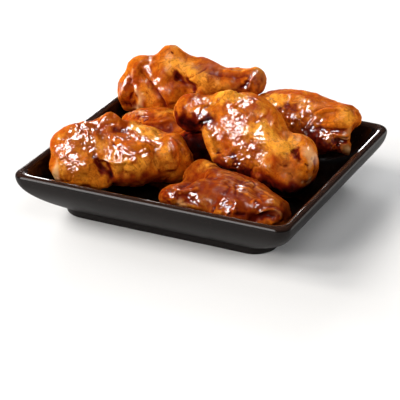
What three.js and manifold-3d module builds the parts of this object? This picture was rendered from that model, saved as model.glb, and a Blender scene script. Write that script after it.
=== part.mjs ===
// Glazed chicken wings served in a small black stoneware dish.
// Millimetres, +Z up. The origin is the middle of the dish's foot, on the surface that the dish stands on:
// +X runs to the right along the dish's long side, +Y runs to its back.
import * as THREE from "three";
import { mergeVertices } from "three/addons/utils/BufferGeometryUtils.js";
import Module from "manifold-3d";

const wasm = await Module();
wasm.setup();

// ---------------------------------------------------------------- driving dimensions

const DISH = {
  halfLength: 80, // X, at the rim
  halfDepth: 74.5, // Y, at the rim
  height: 28,
  rimWidth: 4.6, // the flat land on top of the wall
  rimRound: 1.1, // rounding of the land's two edges
  rimCorner: 9, // plan radius of the rim's corners
  footInset: 18.5, // how far the foot stands in from the rim
  footHeight: 4.5,
  footCorner: 19,
  footRing: 6, // width of the ring that touches the table
  footRecess: 1.8, // depth of the hollow inside that ring
  floorTop: 7.5, // upper face of the floor
  floorInset: 24, // where the floor meets the wall, in from the rim
};
const GAP = 0.35; // clear distance kept between pieces that lie on each other
const MEAT_BLEND = 4.5; // how far neighbouring lobes of meat run into each other
const SKIN_BLEND = 2.5; // the same for folds and creases of the skin
const UNEVEN_LENGTH = 17; // wavelength of the skin's general unevenness
const UNEVEN_DEPTH = 1; // how far that unevenness rises or sinks at most
const RELAX_PASSES = 25; // how often a wing's corners are spread out again

// ---------------------------------------------------------------- solids and meshes

/** A closed three.js geometry as a manifold-3d solid. */
function solidOf(geometry) {
  const bare = geometry.clone();
  bare.deleteAttribute("normal");
  bare.deleteAttribute("uv");
  const merged = mergeVertices(bare, 1e-4);
  return new wasm.Manifold(
    new wasm.Mesh({
      numProp: 3,
      vertProperties: merged.attributes.position.array,
      triVerts: new Uint32Array(merged.index.array),
    }),
  );
}

/** A manifold-3d solid as a three.js geometry. */
function geometryOf(solid) {
  const mesh = solid.getMesh();
  const corners = new Float32Array(mesh.numVert * 3);
  for (let i = 0; i < mesh.numVert; i++)
    corners.set(mesh.vertProperties.subarray(i * mesh.numProp, i * mesh.numProp + 3), i * 3);
  const geometry = new THREE.BufferGeometry();
  geometry.setAttribute("position", new THREE.BufferAttribute(corners, 3));
  geometry.setIndex(new THREE.BufferAttribute(mesh.triVerts, 1));
  geometry.computeVertexNormals();
  return geometry;
}

// ---------------------------------------------------------------- the dish

/** The wall's section as (inset from the rim's outline, height), from under the foot to the floor. */
function dishSection(grow) {
  const d = DISH;
  const v = (inset, z) => new THREE.Vector2(inset, z);
  const outer = new THREE.CubicBezierCurve(
    v(d.footInset - 0.6, d.footHeight),
    v(d.footInset * 0.8, d.footHeight + 2.6),
    v(0, d.height * 0.5),
    v(0, d.height - d.rimRound),
  );
  const inner = new THREE.CubicBezierCurve(
    v(d.rimWidth + grow, d.height - d.rimRound),
    v(d.rimWidth + 5 + grow, d.height * 0.5),
    v(d.floorInset * 0.66 + grow, d.floorTop + 0.8 + grow),
    v(d.floorInset + grow, d.floorTop + grow),
  );
  const landEdge = (x, fromDeg, toDeg) =>
    new THREE.EllipseCurve(x, d.height - d.rimRound, d.rimRound, d.rimRound + grow,
      THREE.MathUtils.degToRad(fromDeg), THREE.MathUtils.degToRad(toDeg), true).getPoints(2);
  return [
    v(d.footInset + d.footRing + 1, d.footRecess),
    v(d.footInset + d.footRing, 0),
    v(d.footInset + 0.9, 0),
    v(d.footInset, 0.9),
    ...outer.getPoints(6),
    ...landEdge(d.rimRound, 180, 90).slice(1),
    ...landEdge(d.rimWidth - d.rimRound + grow, 90, 0),
    ...inner.getPoints(6).slice(1),
  ];
}

/** The point at `turn` (0 to 1) round a rounded rectangle, `inset` inside the rim's outline. */
function outlinePoint(turn, inset) {
  const along = Math.min(inset, DISH.footInset) / DISH.footInset;
  const corner = THREE.MathUtils.lerp(DISH.rimCorner, DISH.footCorner, along);
  const straightX = DISH.halfLength - inset - corner;
  const straightY = DISH.halfDepth - inset - corner;
  const quarter = Math.floor(turn * 4 + 1e-9) % 4;
  const t = turn * 4 - Math.floor(turn * 4 + 1e-9);
  const fromSideX = quarter % 2 === 0; // a quarter starts on the side that crosses the X axis, or ends there
  const s = fromSideX ? t : 1 - t;
  const signX = quarter === 0 || quarter === 3 ? 1 : -1;
  const signY = quarter < 2 ? 1 : -1;
  if (s < 0.25) return [signX * (straightX + corner), (signY * straightY * s) / 0.25];
  if (s > 0.75) return [(signX * straightX * (1 - s)) / 0.25, signY * (straightY + corner)];
  const angle = (s - 0.25) * Math.PI;
  return [
    signX * (straightX + corner * Math.cos(angle)),
    signY * (straightY + corner * Math.sin(angle)),
  ];
}

/** The dish: turned as a lathe shape from the wall's section, each ring then drawn out to its outline. */
function makeDish(grow = 0) {
  const aroundSteps = 40;
  const section = dishSection(grow).map((p) => new THREE.Vector2(DISH.halfLength - p.x, p.y));
  const profile = [
    new THREE.Vector2(0, DISH.footRecess),
    ...section,
    new THREE.Vector2(0, DISH.floorTop + grow),
  ];
  const geometry = new THREE.LatheGeometry(profile, aroundSteps);
  const position = geometry.attributes.position;
  for (let i = 0; i < position.count; i++) {
    const { x: radius, y: z } = profile[i % profile.length];
    const turn = (Math.floor(i / profile.length) % aroundSteps) / aroundSteps;
    const [x, y] = radius > 0 ? outlinePoint(turn, DISH.halfLength - radius) : [0, 0];
    position.setXYZ(i, x, y, z);
  }
  return solidOf(geometry);
}

// ---------------------------------------------------------------- the lobes, folds and creases of a wing

/** A rounded lump of meat: an ellipsoid whose long side is turned round Z, then pitched up, then rolled. */
function lobe(at, radii, { turn = 0, pitch = 0, roll = 0 } = {}) {
  const centre = new THREE.Vector3(...at);
  const rad = THREE.MathUtils.degToRad;
  const back = new THREE.Matrix4()
    .makeRotationFromEuler(new THREE.Euler(rad(roll), rad(-pitch), rad(turn), "ZYX"))
    .invert();
  const size = new THREE.Vector3(...radii);
  const p = new THREE.Vector3();
  return (point) => {
    p.copy(point).sub(centre).applyMatrix4(back).divide(size);
    const reach = p.length();
    const slope = p.divide(size).length();
    return slope > 0 ? (reach * (reach - 1)) / slope : -Math.min(...radii);
  };
}

/** A round-sided strip along a smooth line: a fold of skin, or the tool that presses a crease. */
function strip(points, radius) {
  const line = new THREE.CatmullRomCurve3(points.map((p) => new THREE.Vector3(...p))).getPoints(8);
  const nearest = new THREE.Vector3();
  const pieces = line.slice(1).map((end, i) => new THREE.Line3(line[i], end));
  return (point) =>
    Math.min(...pieces.map((piece) =>
      piece.closestPointToPoint(point, true, nearest).distanceTo(point))) - radius;
}

/** Two distances as one surface whose joint is rounded over `blend`. */
function blendedMin(a, b, blend) {
  const h = Math.max(blend - Math.abs(a - b), 0) / blend;
  return Math.min(a, b) - (h * h * blend) / 4;
}

/** How far the cooked skin stands out of the smooth lobes at a point, or sinks in. */
function unevenness({ x, y, z }) {
  const wave = (2 * Math.PI) / UNEVEN_LENGTH;
  return UNEVEN_DEPTH * Math.sin(wave * x + 1.7 * Math.sin(wave * 0.6 * z)) *
    Math.sin(wave * y + 1.1 * Math.sin(wave * 0.7 * x)) * Math.cos(wave * z);
}

/** The distance from a point to the surface of a wing. */
function distanceTo(wing, point) {
  let d = Infinity;
  for (const meat of wing.lobes) d = blendedMin(d, meat(point), MEAT_BLEND);
  for (const fold of wing.folds ?? []) d = blendedMin(d, fold(point), SKIN_BLEND);
  for (const crease of wing.creases ?? []) d = -blendedMin(-d, crease(point), SKIN_BLEND);
  return d - unevenness(point);
}

// ---------------------------------------------------------------- wrapping a wing's surface

/** How far along a ray the surface of the wing, grown by `grow`, is last crossed. */
function lastCrossing(wing, start, direction, grow) {
  const farthest = 60;
  const step = 1;
  const point = new THREE.Vector3();
  const outside = (t) => distanceTo(wing, point.copy(direction).multiplyScalar(t).add(start)) > grow;
  let t = farthest;
  while (t > step && outside(t)) t -= step;
  let near = t;
  let far = t + step;
  for (let i = 0; i < 12; i++) {
    const middle = (near + far) / 2;
    if (outside(middle)) far = middle;
    else near = middle;
  }
  return near;
}

/** The corners that share an edge with each corner of an indexed geometry. */
function neighboursOf(geometry) {
  const sets = Array.from({ length: geometry.attributes.position.count }, () => new Set());
  const index = geometry.index.array;
  for (let i = 0; i < index.length; i += 3)
    for (let k = 0; k < 3; k++) {
      sets[index[i + k]].add(index[i + ((k + 1) % 3)]);
      sets[index[i + k]].add(index[i + ((k + 2) % 3)]);
    }
  return sets.map((set) => [...set]);
}

/** Moves a point straight onto the surface of the wing, grown by `grow`. */
function settle(wing, point, grow) {
  const reach = 0.5;
  const side = new THREE.Vector3();
  const slope = new THREE.Vector3();
  for (let i = 0; i < 3; i++) {
    const here = distanceTo(wing, point);
    slope.set(
      distanceTo(wing, side.copy(point).setX(point.x + reach)) - here,
      distanceTo(wing, side.copy(point).setY(point.y + reach)) - here,
      distanceTo(wing, side.copy(point).setZ(point.z + reach)) - here,
    ).divideScalar(reach);
    const steepness = Math.max(slope.lengthSq(), 0.25);
    point.addScaledVector(slope, (grow - here) / steepness);
  }
}

/** Spreads the corners evenly over the wing: each drifts towards its neighbours' middle and settles again. */
function relax(wing, geometry, grow) {
  const neighbours = neighboursOf(geometry);
  const position = geometry.attributes.position;
  const points = neighbours.map((_, i) => new THREE.Vector3().fromBufferAttribute(position, i));
  const middle = new THREE.Vector3();
  for (let pass = 0; pass < RELAX_PASSES; pass++)
    points.forEach((point, i) => {
      middle.set(0, 0, 0);
      neighbours[i].forEach((j) => middle.add(points[j]));
      point.lerp(middle.divideScalar(neighbours[i].length), 0.5);
      settle(wing, point, grow);
    });
  points.forEach((point, i) => position.setXYZ(i, point.x, point.y, point.z));
}

/** A wing as a solid: a fine ball whose corners are pushed out from the wing's spine to its surface. */
function makeWing(wing, grow = 0) {
  const [from, to] = wing.spine.map((p) => new THREE.Vector3(...p));
  const along = to.clone().sub(from);
  const turned = new THREE.Quaternion().setFromUnitVectors(
    new THREE.Vector3(1, 0, 0), along.clone().normalize());
  const ball = new THREE.IcosahedronGeometry(1, wing.detail);
  ball.deleteAttribute("normal");
  ball.deleteAttribute("uv");
  const skin = mergeVertices(ball, 1e-4);
  const position = skin.attributes.position;
  const direction = new THREE.Vector3();
  const start = new THREE.Vector3();
  for (let i = 0; i < position.count; i++) {
    direction.fromBufferAttribute(position, i);
    start.copy(from).addScaledVector(along, (direction.x + 1) / 2);
    direction.applyQuaternion(turned);
    start.addScaledVector(direction, lastCrossing(wing, start, direction, grow));
    position.setXYZ(i, start.x, start.y, start.z);
  }
  relax(wing, skin, grow);
  return solidOf(skin);
}

// ---------------------------------------------------------------- the six wings

const WINGS = {
  wing_front: {
    colour: 0xb4541a,
    detail: 9,
    spine: [[6, -34, 20], [52, -37, 18]],
    lobes: [
      lobe([26, -35, 20], [33, 19, 12], { pitch: -4 }),
      lobe([6, -24, 24], [12, 11, 8.5]),
      lobe([8, -46, 21], [13, 10, 9]),
      lobe([38, -51, 19], [10, 7, 8]),
      lobe([54, -38, 17], [12, 12, 9.5]),
    ],
    folds: [strip([[49, -48, 21], [54, -45, 24], [60, -42, 24], [63, -44, 20]], 2.5)],
    creases: [
      strip([[4, -42, 33], [14, -39, 33], [25, -38, 33]], 3),
      strip([[31, -50, 29], [29, -56, 23]], 2.5),
      strip([[53, -52, 19], [58, -51, 18]], 3.5),
    ],
  },
  wing_left: {
    colour: 0xc06a1e,
    detail: 9,
    spine: [[-56, -37, 28], [-18, -18, 27]],
    lobes: [
      lobe([-37, -26, 27], [30, 16, 13], { turn: 28 }),
      lobe([-60, -39, 33], [14, 12, 12]),
      lobe([-54, -46, 24], [16, 10, 11], { turn: 15 }),
      lobe([-29, -33, 26], [17, 12, 12], { turn: 20 }),
      lobe([-49, -20, 40], [9, 8, 7]),
      lobe([-57, -32, 38], [9, 9, 8]),
      lobe([-12.5, -15, 28.5], [9, 10, 12]),
      lobe([-36, -18, 19.5], [20, 11, 12], { turn: 25 }),
    ],
    folds: [
      strip([[-40, -14, 39], [-28, -12, 37], [-18, -12, 34]], 4),
      strip([[-46, -38, 37], [-38, -38, 35], [-31, -35, 37], [-22, -30, 36]], 3),
    ],
    creases: [
      strip([[-45, -44, 37], [-39, -48, 30], [-35, -49, 22]], 2.5),
      strip([[-53, -30, 43], [-45, -29, 43], [-37, -23, 43]], 2),
      strip([[-19, -26, 39], [-14, -33, 33], [-13, -38, 27]], 2.5),
    ],
  },
  wing_middle: {
    colour: 0xa34c18,
    detail: 8,
    spine: [[-50, 24, 20], [-10, 12, 21]],
    lobes: [
      lobe([-30, 16, 20], [30, 15, 12.5], { turn: -15 }),
      lobe([-53, 25, 20], [13, 11, 10]),
      lobe([-36, 17, 28], [19, 12, 10.5], { turn: -12, pitch: 4 }),
      lobe([-7, 8, 25.5], [12, 12, 12.5]),
    ],
    folds: [strip([[-56, 18, 32], [-42, 14, 36], [-26, 10, 37]], 3)],
  },
  wing_right: {
    colour: 0xb8601c,
    detail: 9,
    spine: [[16, 48, 29], [56, 47, 31]],
    lobes: [
      lobe([34, 49, 34], [29, 18, 15]),
      lobe([30, 48, 22], [21, 15, 14]),
      lobe([14, 47, 31], [12, 14, 11]),
      lobe([60, 48, 38], [11.5, 12, 8]),
      lobe([53, 42, 28], [12, 12, 10]),
      lobe([66, 40, 25.5], [4.5, 4, 4]),
    ],
    folds: [
      strip([[58, 37, 34], [66, 42, 33], [69, 44, 37]], 3),
      strip([[42, 38, 43], [51, 42, 44], [62, 46, 44]], 2.5),
    ],
    creases: [strip([[50, 31, 38], [61, 33, 37], [69, 37, 39]], 2.5)],
  },
  wing_back: {
    colour: 0xc27420,
    detail: 9,
    spine: [[-52, 49, 40], [2, 51, 49]],
    lobes: [
      lobe([-48, 50, 40], [17, 16, 17]),
      lobe([-61, 46, 45], [9, 9, 11], { pitch: 20 }),
      lobe([-68, 42, 33], [8, 8, 12]),
      lobe([-42, 42, 35], [13, 10, 10]),
      lobe([-50, 49, 28], [15, 13, 13]),
      lobe([-48, 54, 56.5], [6, 5.5, 6.2]),
      lobe([-26, 51, 44], [20, 12, 11.5]),
      lobe([-4, 51, 48.5], [13, 8, 7.5]),
      lobe([6.5, 51, 50], [6.5, 7.5, 8.5]),
    ],
    folds: [
      strip([[-48, 54, 58], [-38, 55, 55], [-26, 55, 53], [-16, 54, 50]], 4),
      strip([[-63, 43, 53], [-68, 41, 44], [-70, 39, 36], [-69, 39, 29]], 3.5),
      strip([[-58, 38, 42], [-57, 38, 35], [-55, 39, 28]], 3.5),
      strip([[-25, 42, 43], [-14, 44, 45], [0, 46, 48]], 3),
    ],
    creases: [
      strip([[-59, 41, 56], [-54, 35, 49], [-50, 32, 42], [-44, 30, 37], [-41, 30, 32]], 2.5),
      strip([[-39, 40, 51], [-31, 38, 48], [-25, 37, 46]], 2.5),
      strip([[-64, 33, 34], [-64, 33, 27]], 3),
    ],
  },
  wing_centre: {
    colour: 0xc46a1c,
    detail: 9,
    spine: [[-4, 4, 46], [46, 4, 29]],
    lobes: [
      lobe([-10, 2, 47], [10, 9, 11]),
      lobe([10, 6, 57], [6, 5, 5]),
      lobe([6, 6, 47], [13, 12, 11]),
      lobe([24, 3, 40], [24, 20, 12], { pitch: -18, roll: 55 }),
      lobe([21, 12, 50], [12, 9, 9]),
      lobe([47, 3, 25.5], [17, 15, 17.5]),
      lobe([54, 4, 35], [9, 9, 9]),
      lobe([58, -3, 32], [7, 7, 8]),
      lobe([53, -6, 22], [8, 7, 7]),
    ],
    folds: [
      strip([[4, -9, 44], [8, -11, 37], [16, -12, 30]], 3.5),
      strip([[28, -6, 45], [39, -5, 41], [50, -4, 37]], 3),
    ],
    creases: [
      strip([[44, 4, 48], [50, -1, 43], [54, -8, 38]], 2),
      strip([[-1, -4, 55], [-1, -9, 48], [0, -9, 42]], 2),
    ],
  },
};

// ---------------------------------------------------------------- assembly

const serving = new THREE.Group();

function addPiece(name, solid, colour, roughness) {
  const mesh = new THREE.Mesh(
    geometryOf(solid),
    new THREE.MeshStandardMaterial({ color: colour, roughness, metalness: 0, flatShading: true }),
  );
  mesh.name = name;
  serving.add(mesh);
}

addPiece("dish", makeDish(), 0x1c1a19, 0.25);

// Each wing is pressed in by the dish and by the wings that were laid before it.
let laidBefore = makeDish(GAP);
for (const [name, wing] of Object.entries(WINGS)) {
  addPiece(name, makeWing(wing).subtract(laidBefore), wing.colour, 0.3);
  laidBefore = laidBefore.add(makeWing(wing, GAP));
}

export default serving;
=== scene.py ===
"""Glazed chicken wings in a small black stoneware dish, modelled on the CAD frame.

Sizes are in millimetres and become metres through MM. Every piece rides on the one body, "root".
"""

import math
import random

import bpy
import numpy as np
from mathutils import Matrix, Vector
from mathutils.bvhtree import BVHTree
from mathutils.kdtree import KDTree


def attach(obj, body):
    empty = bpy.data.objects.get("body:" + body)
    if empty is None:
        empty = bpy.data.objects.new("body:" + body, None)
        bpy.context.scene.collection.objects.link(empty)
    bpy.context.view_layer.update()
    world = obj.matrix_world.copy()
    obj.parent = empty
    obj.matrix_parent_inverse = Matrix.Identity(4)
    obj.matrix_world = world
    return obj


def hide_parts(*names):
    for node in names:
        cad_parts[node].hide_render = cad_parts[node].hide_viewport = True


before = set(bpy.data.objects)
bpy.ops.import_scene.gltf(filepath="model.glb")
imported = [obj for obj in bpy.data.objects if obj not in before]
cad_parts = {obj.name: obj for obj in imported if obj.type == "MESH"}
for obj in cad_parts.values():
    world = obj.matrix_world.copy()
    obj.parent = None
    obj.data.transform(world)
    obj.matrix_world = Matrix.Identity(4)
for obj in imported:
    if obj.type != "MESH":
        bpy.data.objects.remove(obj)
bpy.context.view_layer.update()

MM = 0.001
LEAST_WEIGHT = 0.004  # a corner that weighs less is left out of its group

# ---------------------------------------------------------------- small helpers


def linear(hex_colour):
    """An sRGB hex colour as Blender's linear RGBA."""
    channels = [int(hex_colour[i : i + 2], 16) / 255 for i in (1, 3, 5)]
    return [c / 12.92 if c <= 0.04045 else ((c + 0.055) / 1.055) ** 2.4 for c in channels] + [1.0]


def feed(material, node, inputs):
    """Sets inputs of a node of that material, each to a value or by a link from another node's socket."""
    for key, value in inputs.items():
        if isinstance(value, bpy.types.NodeSocket):
            material.node_tree.links.new(value, node.inputs[key])
        else:
            node.inputs[key].default_value = value


def add_node(material, kind, settings=None, inputs=None):
    """Adds a shader node of that kind, with its settings and its inputs, and gives its outputs."""
    node = material.node_tree.nodes.new(kind)
    for name, value in (settings or {}).items():
        setattr(node, name, value)
    feed(material, node, inputs or {})
    return node.outputs


def new_material(name):
    """A material of that name, and its main shader."""
    material = bpy.data.materials.new(name)
    material.use_nodes = True
    return material, material.node_tree.nodes["Principled BSDF"]


def pick_none():
    """Nothing is selected, and no piece is being edited."""
    if bpy.context.object and bpy.context.object.mode != "OBJECT":
        bpy.ops.object.mode_set(mode="OBJECT")
    bpy.ops.object.select_all(action="DESELECT")


def pick(piece):
    """Only this piece is selected and active."""
    pick_none()
    piece.select_set(True)
    bpy.context.view_layer.objects.active = piece


def apply_modifier(piece, kind, **settings):
    """Puts one modifier on a piece and applies it."""
    modifier = piece.modifiers.new(kind, kind)
    for name, value in settings.items():
        setattr(modifier, name, value)
    pick(piece)
    bpy.ops.object.modifier_apply(modifier=modifier.name)


def corners_of(piece):
    """The piece's corners as an array of millimetres."""
    flat = np.empty(len(piece.data.vertices) * 3)
    piece.data.vertices.foreach_get("co", flat)
    return flat.reshape(-1, 3) / MM


def normals_of(piece):
    """The normals at the piece's corners."""
    flat = np.empty(len(piece.data.vertices) * 3)
    piece.data.vertices.foreach_get("normal", flat)
    return flat.reshape(-1, 3)


def weigh(piece, name, weights):
    """A vertex group that holds these weights."""
    group = piece.vertex_groups.new(name=name)
    for i in np.nonzero(weights > LEAST_WEIGHT)[0]:
        group.add([int(i)], float(weights[i]), "REPLACE")
    return group.name


def emboss(piece, name, kind, size, height, level=0.5, group="", **settings):
    """Lifts and sinks a surface by a procedural texture of that size, about the level that stays put."""
    pattern = bpy.data.textures.new(name, kind)
    pattern.noise_scale = size * MM
    for key, value in settings.items():
        setattr(pattern, key, value)
    apply_modifier(piece, "DISPLACE", texture=pattern, texture_coords="LOCAL", strength=height * MM,
                   mid_level=level, vertex_group=group)


# ---------------------------------------------------------------- camera, floor and light

VIEW_RIGHT = Vector((0.903, 0.429, 0.0))
VIEW_BACK = Vector((0.387, -0.815, 0.431))  # from the dish towards the camera
CAMERA_AT = Vector((0.4253, -0.9025, 0.4736))  # metres
NEAREST_SEEN = 50 * MM
LENS_MM = 179.84
SENSOR_MM = 36
PICTURE_SIDE = 400  # pixels

FLOOR_SIDE = 6000 * MM
AIR_LIGHT = 0.08

# Far, broad lights: (name, degrees round from +X towards +Y, degrees up, strength, degrees wide, and the
# colour if not white). A bank of them on the left, from its side to the front, throws the soft shadow to the
# right. The others only fill: the low ones behind shade the floor in front.
SUNS = (
    ("left", 185, 34, 1.3, 20, "#fffaf4"),
    ("front left, high", 215, 40, 1.15, 20, "#fffcf8"),
    ("front left", 245, 28, 1.6, 20, "#fffcf8"),
    ("behind", 125, 13, 3.0, 24),
    ("behind left", 162, 13, 1.4, 24),
    ("right", 20, 14, 1.5, 40),
    ("overhead", 310, 66, 0.5, 40),
)
# What the gloss mirrors. On the dish: a softbox in front on the left and the bright foot of the backdrop.
# On the wings: softboxes in front, low on the left, overhead and high behind.
DISH_SOFTBOXES = (
    ("dish softbox", 238, 22, 4.6, 40),
    ("backdrop", 121, 11, 1.0, 13),
)
WING_SOFTBOXES = (
    ("front softbox", 253, 36, 9.0, 32),
    ("left softbox", 222, 8, 5.0, 26),
    ("top softbox", 300, 82, 16.0, 44),
    ("high softbox", 112, 46, 3.6, 22),
)


def view_axes():
    """The camera's right, back and up in the frame."""
    right = VIEW_RIGHT.normalized()
    back = (VIEW_BACK - right * VIEW_BACK.dot(right)).normalized()
    return right, back, back.cross(right)


def add_camera():
    """The camera, set as the scene's own."""
    camera = bpy.data.objects.new("camera", bpy.data.cameras.new("camera"))
    bpy.context.scene.collection.objects.link(camera)
    bpy.context.scene.camera = camera
    right, back, up = view_axes()
    turned = Matrix((right, up, back)).transposed().to_4x4()
    camera.matrix_world = Matrix.Translation(CAMERA_AT) @ turned
    camera.data.sensor_fit = "HORIZONTAL"
    camera.data.sensor_width = SENSOR_MM
    camera.data.lens = LENS_MM
    camera.data.clip_start = NEAREST_SEEN


def add_sun(name, round_deg, up_deg, strength, spread_deg, colour="#ffffff", mirrored=False):
    """A far, broad light. Gloss alone sees a mirrored one, and all but gloss sees the others."""
    light = bpy.data.lights.new(name, "SUN")
    light.energy = strength
    light.angle = math.radians(spread_deg)
    light.color = linear(colour)[:3]
    lamp = bpy.data.objects.new(name, light)
    bpy.context.scene.collection.objects.link(lamp)
    lamp.rotation_euler = (0, math.radians(90 - up_deg), math.radians(round_deg))
    lamp.visible_glossy = mirrored
    lamp.visible_diffuse = not mirrored
    return lamp


def add_studio():
    """The air's faint light, the suns and the floor."""
    scene = bpy.context.scene
    scene.view_settings.view_transform = "Standard"
    scene.view_settings.look = "None"
    air = bpy.data.worlds.new("studio air")
    air.use_nodes = True
    feed(air, air.node_tree.nodes["Background"], {"Color": linear("#f4f6fa"), "Strength": AIR_LIGHT})
    scene.world = air
    for sun in SUNS:
        add_sun(*sun)

    pick_none()
    bpy.ops.mesh.primitive_plane_add(size=FLOOR_SIDE, location=(0, 0, 0))
    floor = bpy.context.object
    floor.name = "studio_floor"
    # uncoated white paper, matt
    paper, shader = new_material("Matt white backdrop paper")
    feed(paper, shader, {"Base Color": linear("#f3f3f3"), "Roughness": 0.9, "Specular IOR Level": 0.1})
    floor.data.materials.append(paper)


def add_softboxes(name, softboxes, pieces):
    """Lights that only the gloss of these pieces mirrors."""
    lit = bpy.data.collections.new(name)
    for piece in pieces:
        lit.objects.link(piece)
    for softbox in softboxes:
        lamp = add_sun(*softbox, mirrored=True)
        lamp.light_linking.receiver_collection = lit


# ---------------------------------------------------------------- the dish

HALF_X, HALF_Y, HEIGHT = corners_of(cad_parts["dish"]).max(0).round(2)
RIM_CORNER = 7.0
FOOT_CORNER = 12.5
FOOT_INSET = 18.5
ROUNDEST = 0.8  # a corner's share of the half width, at most
LIP_RISE = 2.4
LIP_REACH = 1.9
FLOOR_INSET = 24.0
FLOOR_TOP = 7.5
CORNER_STEPS = 10
CURVE_STEPS = 10
# (inset from the rim's outline, height): the hollow under the foot, and round the foot to the wall
FOOT = [
    (40, 1.8), (27, 1.8), (25.2, 1.7), (24.6, 0.9), (24.2, 0.15), (23, 0), (20, 0), (18.9, 0.2),
    (FOOT_INSET, 0.9), (18.3, 2.6), (18.1, 3.9),
]
LIP_TURN = (18, 36, 54, 72, 86)  # degrees
LIP_SLOPE = ((2.5, 0.03), (3.2, 0.12), (3.9, 0.35), (4.5, 0.75), (5.0, 1.35))  # (inset, drop from the top)
FLOOR = [(30, 7.45), (45, 7.4), (60, 7.4)]
HAND_SIZE = 26  # the dish is faintly uneven, as thrown by hand
HAND_DEPTH = 0.35
# how deep the rim's brown band reaches: rust, and also painted sheen
RIM_RUST_AND_SHEEN_BAND = 1.6


def bezier(a, b, c, d):
    """Points from a to d on a cubic curve with the handles b and c."""
    out = []
    for i in range(CURVE_STEPS + 1):
        t = i / CURVE_STEPS
        u = 1 - t
        shares = (u**3, 3 * u * u * t, 3 * u * t * t, t**3)
        out.append(tuple(sum(s * value for s, value in zip(shares, row)) for row in zip(a, b, c, d)))
    return out


def dish_section():
    """(inset from the rim's outline, height), from the hollow under the foot to the floor's middle."""
    # a curve is given by its start, two handles and its end
    brink = HEIGHT - LIP_RISE
    outer = bezier((17.9, 4.5), (14.8, 7.1), (0, 15), (0, brink))
    lip = []
    for angle in np.radians(LIP_TURN):
        lip.append((LIP_REACH - LIP_REACH * math.cos(angle), brink + LIP_RISE * math.sin(angle)))
    slope = [(inset, HEIGHT - drop) for inset, drop in LIP_SLOPE]
    inner = bezier((5.4, HEIGHT - 2.1), (9.4, 14), (15.8, 8.3), (FLOOR_INSET, FLOOR_TOP))
    return FOOT + outer + lip + slope + inner + FLOOR


def dish_ring(inset, z):
    """One level of the dish: a rounded outline, its corners wider towards the foot."""
    share = min(inset / FOOT_INSET, 1)
    wide, deep = HALF_X - inset, HALF_Y - inset
    corner = min(RIM_CORNER + (FOOT_CORNER - RIM_CORNER) * share, deep * ROUNDEST)
    pick_none()
    bpy.ops.mesh.primitive_plane_add(size=2, location=(0, 0, z * MM))
    ring = bpy.context.object
    bpy.ops.object.mode_set(mode="EDIT")
    bpy.ops.transform.resize(value=(wide * MM, deep * MM, 1))
    bpy.ops.mesh.bevel(offset=corner * MM, segments=CORNER_STEPS, affect="VERTICES")
    bpy.ops.mesh.delete(type="ONLY_FACE")
    bpy.ops.object.mode_set(mode="OBJECT")
    return ring


def make_dish():
    """The dish, one ring after another, each bridged to the last."""
    rings = [dish_ring(inset, z) for inset, z in dish_section()]
    pick(rings[0])
    for ring in rings:
        ring.select_set(True)
    bpy.ops.object.join()
    dish = bpy.context.object
    bpy.ops.object.transform_apply(location=True, rotation=True, scale=True)
    around = 4 * (CORNER_STEPS + 1)
    top = len(rings) - 1
    for lower in range(-1, top + 1):
        bpy.ops.object.mode_set(mode="EDIT")
        bpy.ops.mesh.select_mode(type="EDGE")
        bpy.ops.mesh.select_all(action="DESELECT")
        bpy.ops.object.mode_set(mode="OBJECT")
        # the two ends are closed, and the rings between them are bridged in pairs
        pair = (max(lower, 0), min(lower + 1, top))
        for edge in dish.data.edges:
            a, b = (v // around for v in edge.vertices)
            edge.select = a == b and a in pair
        bpy.ops.object.mode_set(mode="EDIT")
        if pair[0] == pair[1]:
            bpy.ops.mesh.edge_face_add()
        else:
            bpy.ops.mesh.bridge_edge_loops()
    bpy.ops.mesh.select_all(action="SELECT")
    bpy.ops.mesh.normals_make_consistent(inside=False)
    bpy.ops.object.mode_set(mode="OBJECT")
    dish.name = "stoneware_dish"
    apply_modifier(dish, "SUBSURF", levels=2, render_levels=2)
    emboss(dish, "hand of the glaze", "CLOUDS", HAND_SIZE, HAND_DEPTH)
    pick(dish)
    bpy.ops.object.shade_smooth()
    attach(dish, "root")
    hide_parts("dish")
    return dish


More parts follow.
